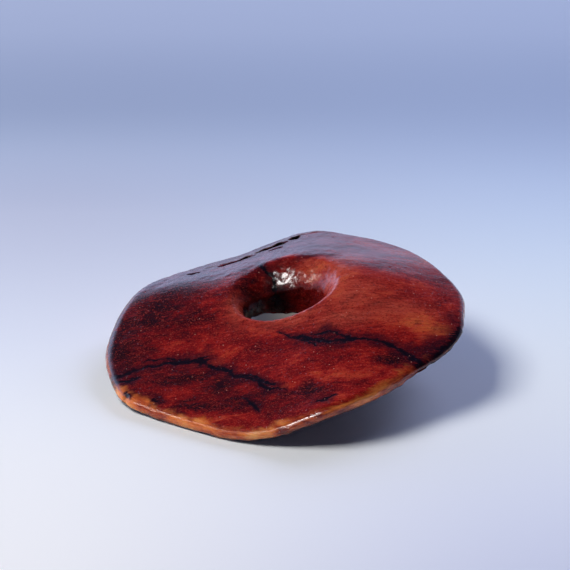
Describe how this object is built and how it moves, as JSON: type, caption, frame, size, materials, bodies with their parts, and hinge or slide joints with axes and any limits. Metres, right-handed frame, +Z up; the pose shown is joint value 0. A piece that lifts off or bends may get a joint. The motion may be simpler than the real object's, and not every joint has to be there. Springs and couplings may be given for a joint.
{
  "type": "sew-on button",
  "caption": "Hand-carved warped disc button in polished red-brown organic material, with a funnel-mouthed sewing hole behind its middle.",
  "frame": {"origin": "on the table under the centre of the button's box, as it lies at rest", "axes": "+X along the button's longer way across, towards its raised end; +Y away from its thin front edge; +Z up from the table"},
  "size_m": [0.0402, 0.036, 0.0104],
  "materials": {
    "dyed_body": "polished"
  },
  "bodies": {
    "root": {"button_body": "dyed_body"}
  },
  "joints": []
}
